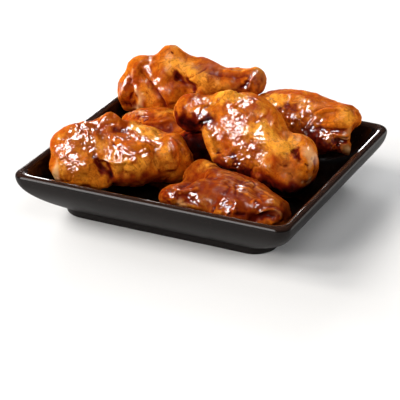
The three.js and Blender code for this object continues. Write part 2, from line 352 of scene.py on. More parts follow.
def black_glaze():
    """Black glazed stoneware, dipped and fired: a near-black, faintly brown glass skin over a rolled rim,
    satin and softly uneven where it was wiped thin outside, with the odd pinhole."""
    material, shader = new_material("Black glazed stoneware")
    mix = {"data_type": "RGBA"}
    place = add_node(material, "ShaderNodeTexCoord")["Object"]
    noises = []
    for size_mm, detail, roughness in ((22, 4.0, 0.55), (1.1, 2.0, 0.5), (5, 2.0, 0.5)):
        noises.append(add_node(material, "ShaderNodeTexNoise", inputs={
            "Vector": place, "Scale": 1 / (size_mm * MM), "Detail": detail,
            "Roughness": roughness})["Fac"])
    cloudy, speckle, wave = noises
    tint = add_node(material, "ShaderNodeMix", mix, {
        "Factor": cloudy, "A": linear("#0b0706"), "B": linear("#160e0b")})["Result"]
    spots = add_node(material, "ShaderNodeMapRange", inputs={
        "Value": speckle, "From Min": 0.66, "From Max": 0.74})["Result"]
    colour = add_node(material, "ShaderNodeMix", mix, {
        "Factor": spots, "A": tint, "B": linear("#2c211c")})["Result"]
    # on the rim the glaze ran thin as it melted, and the clay shows through it as rust; the brown band is
    # also painted sheen on the rim
    height = add_node(material, "ShaderNodeSeparateXYZ", inputs={"Vector": place})["Z"]
    rim_rust_and_sheen = add_node(material, "ShaderNodeMapRange", inputs={
        "Value": height, "From Min": (HEIGHT - RIM_RUST_AND_SHEEN_BAND) * MM, "From Max": HEIGHT * MM,
        "To Max": 0.75})["Result"]
    glaze = add_node(material, "ShaderNodeMix", mix, {
        "Factor": rim_rust_and_sheen, "A": colour, "B": linear("#3a251d")})["Result"]
    # the outside was wiped: satin below the rim, glossy on the rim and inside
    normal = add_node(material, "ShaderNodeNewGeometry")["Normal"]
    facing_up = add_node(material, "ShaderNodeSeparateXYZ", inputs={"Vector": normal})["Z"]
    wiped = add_node(material, "ShaderNodeMapRange", inputs={
        "Value": facing_up, "From Min": -0.05, "From Max": 0.12,
        "To Min": 0.45, "To Max": 0.1})["Result"]
    rough = add_node(material, "ShaderNodeMath", {"operation": "MULTIPLY_ADD"}, {
        0: cloudy, 1: 0.08, 2: wiped})["Value"]
    bump = add_node(material, "ShaderNodeBump", inputs={
        "Strength": 0.35, "Distance": 0.12 * MM, "Height": wave})["Normal"]
    feed(material, shader, {
        "Base Color": glaze, "Roughness": rough, "Normal": bump, "IOR": 1.45, "Specular IOR Level": 0.2})
    return material


# ---------------------------------------------------------------- the wings' skin

# Each ridge or groove of a wing is (half width, height, places it runs through). Each patch of colour or
# finish is (radius, amount, places it lies along): fat shows golden through the skin, sauce is a thick dark
# glaze, and the dark sauce patches in cavities, under knobs and along lower edges are painted shade; tan is
# dry skin or bone, pale is skin stretched bare of sauce and in places painted sheen and highlights, pebble is
# skin puckered into small bumps, and wet is a film of syrup. Each drag pulls the clay about: (place, how far
# around it follows, shift to the right, up and towards the camera). "glaze" is how much sauce lies
# everywhere. A place is (across, down) in the camera's picture, PICTURE_SIDE pixels wide. located() finds
# the solid's point seen there.
WINGS = {}
WINGS["wing_left"] = {
    "glaze": 0.0,
    "ridges": [
        (3.5, 1.2, [(103, 121), (106, 116), (112, 114), (118, 118)]),
        (1.6, 0.8, [(99, 127), (101, 120), (104, 115)]),
        (2.2, 1.2, [(129, 130), (135, 133), (141, 138), (148, 141), (155, 144), (161, 142)]),
        (3, 1.5, [(133, 128), (142, 129), (150, 132), (156, 138)]),
        (1.6, 0.9, [(112, 135), (116, 138), (121, 140), (125, 138)]),
        (2.8, 1, [(122, 144), (130, 146), (140, 145), (150, 146)]),
        (1.3, 0.8, [(119, 148), (124, 152), (129, 155), (136, 153)]), (1.5, 0.9, [(107, 152), (108, 160)]),
        (1.5, 0.9, [(114, 152), (115, 160)]), (1.5, 0.9, [(121, 153), (122, 161)]),
        (1.4, 0.6, [(129, 158), (131, 163)]), (1.4, 0.8, [(86, 130), (87, 136), (89, 143)]),
        (1.4, 0.8, [(92, 128), (95, 134), (97, 140)]),
        (1.5, 0.7, [(64, 152), (68, 158), (76, 163), (80, 168)]),
        (5, 1.2, [(165, 150), (169, 160), (170, 170)]),
        (1.4, 1.1, [(161, 138), (167, 136), (173, 140), (177, 147), (178, 156), (176, 166)]),
        (1.4, 1, [(180, 143), (185, 150), (188, 158), (188, 168)]), (1.1, 0.6, [(183, 158), (187, 170)]),
        (1.1, 0.5, [(179, 162), (184, 174)]),
        (2.2, 0.8, [(100, 158), (108, 161), (118, 162), (128, 161), (138, 160)]),
    ],
    "grooves": [
        (3.8, 3, [(94, 156), (101, 162), (107, 169), (111, 176), (113, 183)]),
        (3, 1.3, [(112, 127), (118, 129), (124, 130)]),
        (1.6, 1.1, [(112, 141), (116, 145), (121, 144), (125, 148), (131, 151), (139, 151)]),
        (1.5, 0.8, [(128, 134), (132, 138), (137, 143)]),
        (3.2, 1.2, [(155, 146), (154, 154), (155, 163), (160, 173)]),
        (2, 0.8, [(104, 125), (110, 123), (118, 122)]), (2, 0.8, [(139, 155), (146, 152), (152, 150)]),
        (1.3, 1.1, [(186, 158), (184, 168), (185, 175)]),
        (1.3, 1.2, [(176, 140), (181, 150), (182, 162), (180, 172)]),
        (1.2, 0.9, [(168, 142), (172, 150), (172, 160)]), (1.6, 0.7, [(56, 163), (63, 159), (68, 163)]),
    ],
    "fat": [
        (4, 1.7, [(136, 128), (146, 131), (155, 137)]),
        (5, 0.9, [(104, 162), (118, 166), (132, 167), (143, 164)]), (3, 0.8, [(155, 160), (158, 165)]),
        (4, 0.8, [(163, 150), (168, 160), (170, 170)]), (3, 0.8, [(60, 164), (62, 172), (62, 178)]),
        (9, 0.35, [(70, 174), (84, 176), (98, 180)]), (9, 0.3, [(84, 150), (92, 160)]),
        (4, 0.7, [(98, 142), (104, 146)]), (4, 0.5, [(88, 140)]), (3, 0.5, [(62, 137)]),
    ],
    "sauce_and_shade": [
        (3.5, 0.8, [(114, 128), (120, 129), (126, 131)]),
        (3.2, 1.3, [(97, 160), (103, 166), (108, 172), (112, 180)]),
        # painted shade: dark sauce along the belly's underside
        (5, 1, [(112, 180), (125, 181), (140, 180), (155, 177)]), (4, 0.9, [(186, 160), (188, 170)]),
        (4, 0.7, [(148, 150), (152, 156), (150, 163)]), (2.5, 0.9, [(113, 143), (118, 145)]),
        (3, 0.5, [(138, 150)]), (4, 0.35, [(112, 118)]), (3, 0.6, [(82, 125)]),
    ],
    "tan": [],
    "pale_and_sheen": [
        (2.5, 1, [(54, 166), (54, 172), (55, 179)]), (1.5, 0.8, [(99, 158), (105, 160)]),
        (1.5, 0.8, [(102, 115), (100, 121)]),
    ],
    "pebble": [
        (4, 0.4, [(62, 145), (70, 135), (80, 130), (90, 130)]), (4, 0.8, [(86, 136), (90, 146)]),
        (5, 0.9, [(66, 156), (74, 164)]), (5, 0.8, [(112, 137), (124, 136), (136, 137)]),
        (3, 0.8, [(92, 153)]), (3, 0.6, [(116, 127), (124, 129)]), (4, 0.4, [(170, 155)]),
    ],
    "wet": [
        (6, 1, [(64, 144), (70, 136), (78, 131)]), (4, 0.8, [(88, 126), (98, 123)]),
        (3, 0.8, [(86, 134), (90, 146)]), (4, 0.9, [(66, 154), (72, 162), (78, 168)]),
        (2.5, 0.8, [(92, 154)]), (2.5, 1, [(113, 136), (124, 139)]),
        (3.5, 1, [(130, 131), (138, 136), (146, 140), (156, 144)]),
        (2.5, 1, [(113, 147), (120, 149), (127, 154), (134, 154)]),
        (2.5, 1, [(107, 157), (115, 157), (122, 158)]), (2.5, 0.5, [(142, 152), (146, 157)]),
        (2.5, 0.6, [(116, 125), (122, 129)]), (2, 0.8, [(184, 152), (187, 160), (186, 170)]),
        (3, 0.3, [(170, 143)]),
    ],
    "drags": [
        ((186, 160), 10, (3, -3, 0)), ((179, 172), 9, (1.8, -3, 0)), ((184, 170), 8, (1.8, -3, 0)),
        ((172, 176), 10, (0, -3.6, 0)), ((106, 180), 9, (0, -4.8, 1)), ((163, 174), 9, (0.6, -2.4, 0)),
    ],
}
WINGS["wing_back"] = {
    "glaze": 0.24,
    "ridges": [
        (4.5, 1.6, [(151, 57), (142, 61), (137, 67), (134, 76), (134, 84)]),
        (3.5, 1.2, [(124, 80), (122, 90), (121, 100)]),
        (4, 1.4, [(134, 88), (140, 93), (141, 101), (138, 109)]),
        (1.6, 0.9, [(144, 66), (149, 73), (153, 81), (157, 88)]),
        (7, 1, [(158, 66), (164, 78), (170, 92), (176, 104)]),
        (6, 1.3, [(172, 62), (186, 68), (200, 76), (214, 84)]),
        (4, 1, [(171, 48), (180, 50), (192, 54), (206, 59)]), (3, 0.8, [(222, 70), (236, 72), (250, 71)]),
        (1.5, 1, [(247, 88), (250, 81), (254, 74)]),
    ],
    "grooves": [
        (2.6, 2.6, [(141, 68), (144, 76), (148, 82), (152, 88), (157, 94), (162, 101), (165, 107)]),
        (3.2, 2.4, [(176, 76), (182, 80), (189, 84), (195, 88)]),
        (1.8, 1.2, [(131, 78), (130, 84), (132, 88)]), (2, 1.9, [(131, 86), (132, 92), (130, 99)]),
        (4, 1.6, [(124, 104), (131, 105)]), (2.5, 1.4, [(238, 88), (244, 86), (248, 80)]),
        (1, 0.5, [(170, 52), (173, 53)]), (3, 0.8, [(205, 72), (220, 75), (236, 77), (248, 74)]),
    ],
    "fat": [
        (6, 1.1, [(172, 62), (182, 66), (192, 74), (200, 80)]), (4, 0.8, [(146, 92), (150, 100)]),
        (5, 0.7, [(210, 86), (222, 88)]), (4, 0.7, [(256, 67)]), (2, 0.7, [(194, 55), (197, 56)]),
        (4, 0.7, [(176, 48)]), (2, 0.8, [(236, 69), (246, 69)]),
    ],
    "sauce_and_shade": [
        (2.5, 0.8, [(258, 86), (262, 80)]), (3, 0.7, [(153, 88), (159, 96), (164, 104)]),
        (3, 1.3, [(178, 77), (186, 82), (194, 88)]), (6, 0.75, [(200, 70), (215, 72), (232, 75), (248, 74)]),
        (5, 0.5, [(225, 84), (240, 84)]), (4, 0.9, [(240, 84), (246, 90)]), (2, 0.9, [(143, 76)]),
        (4, 0.7, [(124, 105), (132, 104)]), (4, 0.5, [(205, 61), (215, 67)]), (1.2, 1.2, [(172, 52)]),
        (6, 0.3, [(170, 85), (175, 100)]),
    ],
    "tan": [
        (5, 0.75, [(260, 74), (263, 84)]), (3, 0.5, [(228, 88), (238, 87)]),
    ],
    "pale_and_sheen": [
        (3, 0.9, [(136, 88), (141, 94), (142, 101), (138, 108)]), (2, 0.6, [(133, 74)]),
    ],
    "pebble": [
        (4, 0.4, [(128, 82), (135, 85)]), (4, 0.7, [(260, 78)]), (4, 0.5, [(150, 84)]), (3, 0.8, [(250, 80)]),
    ],
    "wet": [
        (3, 1.2, [(121, 78), (123, 92)]), (2.5, 1.12, [(130, 80), (136, 86)]),
        (2.5, 0.78, [(137, 88), (141, 94)]), (2, 0.67, [(143, 65), (150, 61)]),
        (2, 1.01, [(144, 67), (150, 76), (152, 84)]), (2.5, 0.78, [(155, 82), (158, 88)]),
        (2.2, 1.12, [(248, 88), (252, 80), (255, 74)]), (1.5, 0.56, [(230, 70)]),
    ],
    "drags": [
        ((170, 47), 6, (-0.6, 2.4, 0)), ((255, 68), 4, (0.6, 1.2, 0)), ((190, 52), 9, (0, -1.8, 0)),
    ],
}
WINGS["wing_middle"] = {
    "glaze": 0.3,
    "ridges": [
        (1.8, 0.9, [(126, 114), (140, 111), (155, 111), (172, 109)]),
        (1.8, 0.8, [(130, 120), (145, 122), (160, 121), (172, 118)]),
    ],
    "grooves": [
        (1.6, 0.8, [(128, 117), (142, 116), (158, 116), (172, 113)]),
    ],
    "fat": [
        (3, 0.6, [(160, 113), (174, 110)]), (3, 0.4, [(140, 121)]),
    ],
    "sauce_and_shade": [
        (4, 0.6, [(135, 120), (150, 119), (165, 120)]), (4, 0.9, [(152, 130), (170, 128)]),
        # painted shade: a dark patch where this wing lies in shadow under the centre wing
        (9, 1.8, [(186, 140), (200, 145), (205, 152)]),
    ],
    "tan": [],
    "pale_and_sheen": [
        (2, 0.6, [(128, 113), (142, 112)]),
    ],
    "pebble": [
        (5, 0.6, [(130, 115), (142, 114)]),
    ],
    "wet": [
        (2.5, 0.5, [(126, 116), (134, 113), (145, 113)]), (3, 0.3, [(200, 142)]),
    ],
    "drags": [],
}
WINGS["wing_centre"] = {
    "glaze": 0.1,
    "ridges": [
        (2, 0.9, [(186, 104), (189, 97), (196, 94), (205, 95), (212, 95)]),
        (3.2, 2, [(223, 94), (230, 93), (237, 95)]), (3.5, 1.3, [(197, 111), (203, 116), (207, 121)]),
        (3, 1.2, [(184, 108), (179, 116), (177, 124)]),
        (1.6, 1.3, [(205, 127), (209, 138), (214, 149), (219, 160)]),
        (5, 1.5, [(255, 126), (266, 133), (276, 143), (290, 147)]),
        (9, 2.2, [(286, 140), (278, 152), (270, 164), (266, 172)]),
        (7, 2.8, [(197, 106), (200, 114), (203, 121)]),
        (6, 3, [(222, 157), (235, 165), (250, 172), (265, 180)]),
        (1.8, 0.9, [(228, 109), (236, 104), (244, 100), (252, 99)]), (1.6, 0.9, [(235, 112), (234, 122)]),
        (1.6, 0.9, [(244, 112), (246, 120)]), (1.6, 0.9, [(258, 116), (261, 126)]),
        (1.6, 1.1, [(226, 164), (232, 159), (238, 162), (244, 168)]),
        (4, 1.2, [(296, 134), (305, 140), (312, 150), (316, 162), (314, 172)]),
        (3, 0.9, [(300, 172), (306, 178), (312, 172)]), (3, 0.8, [(285, 150), (283, 160), (281, 170)]),
    ],
    "grooves": [
        (2.6, 2.6, [(293, 148), (297, 156), (300, 162)]), (2.4, 1.2, [(289, 172), (293, 178)]),
        (2.4, 1, [(288, 134), (286, 142)]), (2, 0.6, [(224, 98), (216, 101), (211, 105)]),
        (2, 1.2, [(232, 163), (238, 167)]), (3, 0.8, [(210, 117), (215, 122), (216, 127)]),
        (2.5, 1, [(279, 114), (282, 124), (284, 132)]), (3, 0.8, [(250, 170), (262, 178), (274, 184)]),
        (1.6, 0.9, [(304, 163), (308, 168), (306, 174)]), (1.4, 0.8, [(276, 160), (282, 166), (288, 165)]),
    ],
    "fat": [
        (4, 1.8, [(222, 94), (230, 93), (238, 96)]), (5, 1.5, [(253, 130), (262, 130), (268, 136)]),
        (6, 1.5, [(270, 140), (280, 146), (288, 146)]), (2.5, 0.8, [(206, 130), (211, 143), (217, 156)]),
        (4, 0.6, [(262, 104)]), (3, 0.6, [(206, 97), (214, 98)]), (4, 0.6, [(282, 126)]),
        (3, 0.8, [(300, 133)]), (5, 0.7, [(262, 160), (270, 152)]), (3, 0.8, [(262, 112)]),
    ],
    "sauce_and_shade": [
        # painted shade: dark sauce under the knob and along the lower edge
        (5.5, 1.6, [(180, 118), (186, 124), (194, 122), (203, 121)]), (5, 1.6, [(184, 132), (192, 133)]),
        (7.5, 1.8, [(226, 163), (240, 170), (255, 177), (264, 183), (274, 189), (286, 192), (300, 192),
            (312, 184)]), (5, 0.8, [(316, 160), (318, 172)]), (3, 1.3, [(295, 151), (298, 159)]),
        (3, 0.5, [(245, 106), (250, 112)]), (3, 0.6, [(252, 122)]), (3, 0.7, [(212, 120)]),
        (5, 0.6, [(255, 168), (268, 172)]), (2.5, 0.9, [(235, 165)]), (1.5, 0.8, [(305, 144)]),
        (7, 0.3, [(284, 168), (290, 180)]), (2, 0.7, [(312, 158)]),
    ],
    "tan": [
        (6, 0.5, [(286, 168), (292, 180)]), (3, 0.6, [(286, 132), (292, 136)]), (4, 0.6, [(308, 176)]),
    ],
    "pale_and_sheen": [
        (3.5, 0.8, [(307, 150), (313, 160)]), (2, 0.8, [(304, 178), (310, 180)]), (1.5, 0.7, [(297, 137)]),
    ],
    "pebble": [
        (5, 0.9, [(236, 104), (250, 102)]), (6, 1, [(230, 116), (238, 124)]),
        (5, 0.8, [(245, 118), (258, 122)]), (8, 1, [(232, 134), (240, 142), (248, 150)]),
        (6, 1, [(228, 150), (240, 160)]), (4, 0.8, [(258, 140), (260, 152)]), (4, 0.9, [(215, 134)]),
        (4, 0.7, [(196, 104), (212, 104)]), (6, 0.6, [(262, 164)]), (6, 0.5, [(300, 165)]),
    ],
    "wet": [
        (3, 1.1, [(198, 112), (204, 118)]), (1.5, 0.8, [(208, 124)]), (1.5, 0.7, [(184, 108)]),
        (1.5, 0.7, [(175, 122), (178, 130)]), (2.2, 0.8, [(230, 108), (242, 101), (254, 98)]),
        (2.2, 0.8, [(233, 113), (235, 124)]), (2, 0.7, [(244, 118)]), (1.8, 0.7, [(259, 118)]),
        (1.5, 0.6, [(262, 126)]), (2, 0.6, [(223, 120)]), (3, 0.7, [(214, 130), (220, 136)]),
        (5, 0.9, [(234, 128), (240, 140), (246, 150)]), (3, 0.9, [(252, 146), (258, 150)]),
        (2.5, 0.9, [(258, 134), (260, 142)]), (3.5, 0.9, [(230, 158), (243, 166)]), (3, 0.8, [(262, 158)]),
        (3, 0.5, [(208, 98)]), (3, 0.4, [(196, 102)]), (1.5, 1, [(292, 190)]), (5, 0.3, [(266, 164)]),
        (2, 0.4, [(285, 153)]), (3, 0.3, [(306, 178)]), (2.5, 0.9, [(310, 150), (315, 160), (315, 168)]),
    ],
    "drags": [
        ((226, 158), 13, (-1.8, -4.2, 0)), ((258, 172), 13, (-1.2, -3.6, 0)), ((200, 122), 8, (0, -3, 0)),
        ((282, 120), 9, (-1.2, -1.8, 0)),
    ],
}
WINGS["wing_right"] = {
    "glaze": 0.15,
    "ridges": [
        (1.8, 0.9, [(314, 114), (322, 110), (332, 109), (344, 109)]),
        (1.8, 1.2, [(330, 132), (340, 135), (350, 134), (355, 128)]),
        (1.4, 0.9, [(338, 137), (345, 139), (350, 137)]), (2.5, 0.7, [(292, 98), (305, 98), (318, 101)]),
        (2.2, 0.9, [(270, 98), (274, 106)]), (1.5, 0.8, [(290, 116), (292, 126)]),
        (1.5, 0.8, [(298, 114), (300, 124)]), (1.5, 0.8, [(306, 128), (312, 122), (316, 117)]),
    ],
    "grooves": [
        (1.6, 1, [(313, 112), (318, 109), (326, 106), (338, 106)]),
        (2.4, 1.6, [(316, 127), (328, 130), (336, 130), (344, 130), (350, 127)]),
        (2.2, 2.2, [(333, 141), (340, 141), (350, 140)]), (2, 1.8, [(338, 143), (340, 152)]),
        (1.5, 0.7, [(300, 122), (302, 130)]),
    ],
    "fat": [
        (5, 0.9, [(345, 112), (350, 118)]), (4.5, 1.7, [(270, 97), (278, 101)]),
        (4, 0.6, [(298, 101), (308, 104)]), (2.5, 0.8, [(297, 114)]), (4, 0.6, [(340, 120)]),
    ],
    "sauce_and_shade": [
        (6, 1.3, [(312, 134), (318, 146), (328, 152)]), (2.5, 1.2, [(335, 143), (338, 153)]),
        (3, 0.9, [(340, 141), (348, 140)]), (2.5, 0.7, [(320, 130), (332, 131), (342, 130)]),
        (3, 0.9, [(278, 110), (286, 106), (296, 106)]), (4, 0.5, [(316, 108), (326, 112)]),
        (3, 0.6, [(312, 112)]), (2, 0.8, [(300, 127)]), (3, 0.4, [(328, 116)]),
    ],
    "tan": [
        (3, 0.9, [(343, 134), (352, 132)]), (4, 1.2, [(346, 147), (347, 152)]),
        (3, 0.6, [(330, 138), (334, 134)]),
    ],
    "pale_and_sheen": [
        (3, 0.8, [(347, 149)]), (2, 0.5, [(346, 138)]),
    ],
    "pebble": [
        (4, 0.8, [(272, 104), (284, 108)]), (5, 0.9, [(292, 118), (298, 122)]), (4, 0.8, [(310, 124)]),
        (5, 1, [(325, 138), (332, 143)]), (3, 0.6, [(305, 111)]),
    ],
    "wet": [
        (2, 1.03, [(267, 98), (269, 104)]), (2.5, 1.03, [(272, 104), (274, 110)]), (1.5, 1.03, [(280, 112)]),
        (3, 1.15, [(291, 118), (294, 124)]), (1.8, 1.03, [(299, 120), (297, 126)]), (3, 1.03, [(305, 111)]),
        (2.2, 1.15, [(306, 130), (312, 124), (316, 119)]), (1, 0.92, [(306, 101)]), (1.2, 0.8, [(286, 97)]),
        (3.5, 0.92, [(325, 134), (332, 142), (338, 138)]), (2, 0.57, [(328, 148)]),
    ],
    "drags": [
        ((357, 130), 8, (-3.6, 1.8, 0)), ((346, 150), 5, (2.4, -1.2, 0)), ((332, 155), 8, (0, 3, 0)),
    ],
}
WINGS["wing_front"] = {
    "glaze": 0.8,
    "ridges": [
        (1.1, 0.3, [(216, 168), (232, 173), (248, 181), (262, 190), (276, 199)]),
        (1.1, 0.3, [(214, 176), (230, 180), (246, 187), (262, 195), (276, 203)]),
        (1.1, 0.3, [(212, 184), (228, 187), (244, 193), (260, 200)]),
        (1, 0.6, [(236, 185), (242, 188), (248, 187)]),
        (2.2, 1, [(172, 191), (182, 191), (192, 190), (200, 187)]), (2.5, 1, [(190, 192), (193, 197)]),
        (2.4, 1.3, [(219, 206), (223, 200), (226, 198)]), (1.8, 1, [(232, 206), (234, 213)]),
        (2, 0.8, [(178, 203), (190, 205), (202, 209)]), (2.5, 0.8, [(214, 210), (222, 212)]),
        (1.6, 1.2, [(256, 213), (264, 210), (272, 209), (279, 212), (281, 218)]),
        (2.6, 1, [(196, 161), (206, 163), (216, 165)]), (1.5, 0.7, [(250, 204), (256, 199), (262, 203)]),
    ],
    "grooves": [
        (3.5, 2.2, [(178, 185), (186, 182), (196, 176), (208, 172)]), (1.8, 1.1, [(214, 206), (212, 212)]),
        (1.6, 1, [(229, 210), (229, 215)]), (2.6, 2, [(258, 217), (266, 215), (276, 217)]),
        (2, 1.2, [(236, 214), (246, 214)]), (0.9, 0.25, [(216, 172), (232, 177), (250, 186), (266, 194)]),
        (0.9, 0.25, [(212, 180), (230, 184), (246, 190), (262, 198)]),
    ],
    "fat": [
        (5, 1.52, [(195, 160), (208, 163)]), (3.5, 0.48, [(225, 172), (245, 180), (262, 190), (275, 200)]),
        (2.5, 0.64, [(197, 188)]), (2.2, 0.88, [(180, 203), (190, 205)]), (4, 0.56, [(198, 198), (206, 203)]),
        (3, 0.64, [(218, 210)]), (3.5, 0.48, [(236, 190), (248, 193)]), (3, 0.4, [(225, 182), (235, 180)]),
        (2, 0.56, [(270, 200), (276, 204)]),
    ],
    "sauce_and_shade": [
        (0.9, 0.6, [(214, 172), (230, 177), (248, 186), (262, 194)]),
        (0.9, 0.5, [(208, 185), (222, 190), (240, 194), (254, 198)]),
        (1, 0.5, [(226, 166), (240, 172), (254, 182), (268, 192)]), (4, 1, [(176, 176), (186, 172)]),
        (3.5, 0.8, [(184, 183), (194, 178), (202, 172), (212, 170)]), (3, 0.9, [(162, 193), (166, 198)]),
        (3, 0.7, [(175, 197), (184, 199)]), (3, 1, [(238, 214), (250, 216)]),
        (3, 1, [(262, 217), (272, 218)]), (4, 1, [(284, 212)]), (1.5, 1, [(212, 210)]),
        (4, 0.5, [(225, 190), (232, 194)]), (3, 0.7, [(258, 203)]), (3, 0.5, [(210, 181)]),
    ],
    "tan": [
        (2.2, 1, [(258, 212), (270, 211), (278, 214)]),
    ],
    "pale_and_sheen": [
        (0.9, 0.5, [(218, 167), (232, 172), (246, 180), (260, 189)]),
        (0.8, 0.4, [(222, 173), (236, 178), (250, 186)]), (0.9, 0.5, [(230, 180), (240, 186), (250, 187)]),
        (0.8, 0.4, [(240, 190), (254, 195), (268, 200)]), (2, 0.5, [(220, 171), (228, 174)]),
        (1.5, 0.7, [(178, 203), (184, 205)]),
    ],
    "pebble": [
        (4, 0.8, [(168, 194), (176, 192)]), (3, 0.8, [(222, 203), (226, 207)]), (3, 0.8, [(234, 210)]),
        (3, 0.7, [(257, 202)]),
    ],
    "wet": [
        (2.6, 1.02, [(190, 192), (194, 198)]), (1.2, 0.68, [(184, 192)]), (2, 0.59, [(170, 193), (176, 191)]),
        (2.6, 0.85, [(220, 205), (224, 200), (226, 206)]), (1.2, 0.77, [(234, 203)]),
        (2.5, 0.85, [(234, 211)]), (2.5, 0.42, [(240, 187)]), (2, 0.34, [(257, 202)]),
        (2, 0.34, [(262, 211), (275, 213)]), (3, 0.26, [(216, 176)]),
    ],
    "drags": [
        ((176, 170), 21, (10.2, -4.8, -2)), ((186, 172), 12, (4.8, -1.2, -2)), ((168, 192), 12, (-3, 0, 0)),
    ],
}

SKIN_VOXEL = 0.85 * MM  # the skin is refined once more after this, to faces under half a millimetre
SEARCH_RINGS = (0, 1, 2, 3, 4, 5, 6, 8)  # pixels around a place at which the camera just misses the solid
SEARCH_TURN = 30  # degrees
FOLD_HEIGHT = 6.0  # how far a weight of 1 lifts or sinks the skin
FOLD_SEED = 100
END_WEIGHT = 0.35  # of a fold, at its ends
END_FADE = 5
# the small folds and creases that wander over every wing
SMALL_FOLDS = {"count": 18, "most_steps": 10, "widths": (1.2, 2.4), "heights": (0.25, 0.6)}
SMALL_CREASES = {"count": 28, "most_steps": 11, "widths": (1.1, 2.0), "heights": (0.3, 0.65)}
FEWEST_STEPS = 4
STRIDE = 1.6
SWAY = 0.35
# patches strewn over the far side of every wing, so that it is as uneven as the near side
FAR_PATCHES = {"pebble": 6, "fat": 6, "sauce_and_shade": 12, "wet": 14}
FAR_RADII = (2.2, 5.0)
FAR_AMOUNT = 0.9
FAR_FACING = -0.15  # how squarely the far side faces the camera, at most
# how patches fade and fray
SPREAD = 1.25
PEBBLE_SPREAD = 1.4
FEATHER = 1.15
FRAY_REACH = 1.1
FRAY_LENGTH = 8
FRAY_WAVES = 9
FRAY_SEED = 7
# sauce pools on what faces down, and this also paints shade on the undersides
POOL_AND_SHADE_MOST = 0.8
POOL_AND_SHADE_FROM = 0.15
POOL_AND_SHADE_OVER = 0.6
HOLLOWS = ((8, 0.35), (60, 2.2))  # (smoothing passes, depth that counts in full) of fine and broad hollows
HOLLOW_SHARE = 0.8


def seen_at(tree, place):
    """The point of a solid that the camera sees at a place of its picture, or close by on a near miss."""
    right, back, up = view_axes()
    for ring in SEARCH_RINGS:
        for turn in range(0, 360, SEARCH_TURN):
            across = place[0] + 0.5 + ring * math.cos(math.radians(turn)) - PICTURE_SIDE / 2
            down = place[1] + 0.5 + ring * math.sin(math.radians(turn)) - PICTURE_SIDE / 2
            aim = (right * across - up * down) * SENSOR_MM / (LENS_MM * PICTURE_SIDE) - back
            spot = tree.ray_cast(CAMERA_AT, aim)[0]
            if spot is not None:
                return tuple(spot / MM)
    return None


def located(node, details):
    """What the table says of a wing, its places in the picture turned into points of the frame's solid."""
    mesh = node.data
    tree = BVHTree.FromPolygons([v.co for v in mesh.vertices], [p.vertices for p in mesh.polygons])
    right, back, up = view_axes()
    found = {"glaze": details["glaze"], "drags": []}
    for kind in ("ridges", "grooves", "fat", "sauce_and_shade", "tan", "pale_and_sheen", "pebble", "wet"):
        found[kind] = []
        for radius, amount, places in details[kind]:
            points = [seen_at(tree, place) for place in places]
            points = [point for point in points if point is not None]
            if points:
                found[kind].append((radius, amount, points))
    for place, reach, (rightward, upward, nearer) in details["drags"]:
        shift = right * rightward + up * upward + back * nearer
        found["drags"].append((seen_at(tree, place), reach, shift))
    return found


def smooth_line(points):
    """Points every millimetre or so along a smooth curve through these."""
    p = np.array(points, float)
    if len(p) == 1:
        return np.vstack([p, p])
    if len(p) == 2:
        p = np.array([p[0], (p[0] + p[1]) / 2, p[1]])
    p = np.vstack([2 * p[0] - p[1], p, 2 * p[-1] - p[-2]])
    out = []
    for a, b, c, d in zip(p, p[1:], p[2:], p[3:]):
        for t in np.linspace(0, 1, max(int(np.linalg.norm(c - b)), 2), endpoint=False):
            bend, twist = 2 * a - 5 * b + 4 * c - d, 3 * b - a - 3 * c + d
            out.append(0.5 * (2 * b + (c - a) * t + bend * t**2 + twist * t**3))
    return np.vstack([out, p[-2]])


def close_to(corners, line, reach):
    """Which corners may lie within reach of a line."""
    return np.nonzero(((corners > line.min(0) - reach) & (corners < line.max(0) + reach)).all(1))[0]


def gap_to_line(spots, line):
    """How far each spot is from a line of points, and the share of the line at which it is nearest."""
    best, at = np.full(len(spots), np.inf), np.zeros(len(spots))
    for i, (a, b) in enumerate(zip(line, line[1:])):
        run = b - a
        t = np.clip((spots - a) @ run / max(run @ run, 1e-9), 0, 1)
        gap = np.linalg.norm(spots - a - t[:, None] * run, axis=1)
        closer = gap < best
        best[closer], at[closer] = gap[closer], (i + t[closer]) / (len(line) - 1)
    return best, at


def along_line(corners, points, width, sharp):
    """How much each corner belongs to a fold of that width: 1 on its line, less to its sides and ends."""
    line = smooth_line(points)
    near = close_to(corners, line, width)
    weights = np.zeros(len(corners))
    gap, at = gap_to_line(corners[near], line)
    side = np.clip(1 - gap / width, 0, 1)
    side = side**1.5 if sharp else side * side * (3 - 2 * side)
    weights[near] = side * np.clip(np.minimum(at, 1 - at) * END_FADE + END_WEIGHT, 0, 1)
    return weights


def frayed(corners):
    """The corners led astray by a few seeded waves, so that patches get a ragged outline."""
    waves = np.random.RandomState(FRAY_SEED)
    moved = corners.copy()
    for _ in range(FRAY_WAVES):
        run = waves.normal(0, 1, 3)
        run *= 2 * math.pi / (FRAY_LENGTH * waves.uniform(0.5, 1.5)) / np.linalg.norm(run)
        swing = np.sin(corners @ run + waves.uniform(0, 6.28))
        moved += np.outer(swing, waves.normal(0, FRAY_REACH / 3, 3))
    return moved


def in_patches(corners, patches, spread=SPREAD):
    """How much each corner lies in these patches."""
    weights = np.zeros(len(corners))
    corners = frayed(corners)
    for radius, amount, points in patches:
        reach = radius * spread * FEATHER
        line = smooth_line(points)
        near = close_to(corners, line, reach)
        gap, _ = gap_to_line(corners[near], line)
        inside = np.clip(1 - (gap / reach) ** 2, 0, 1) ** 1.3
        weights[near] = np.maximum(weights[near], amount * inside)
    return weights


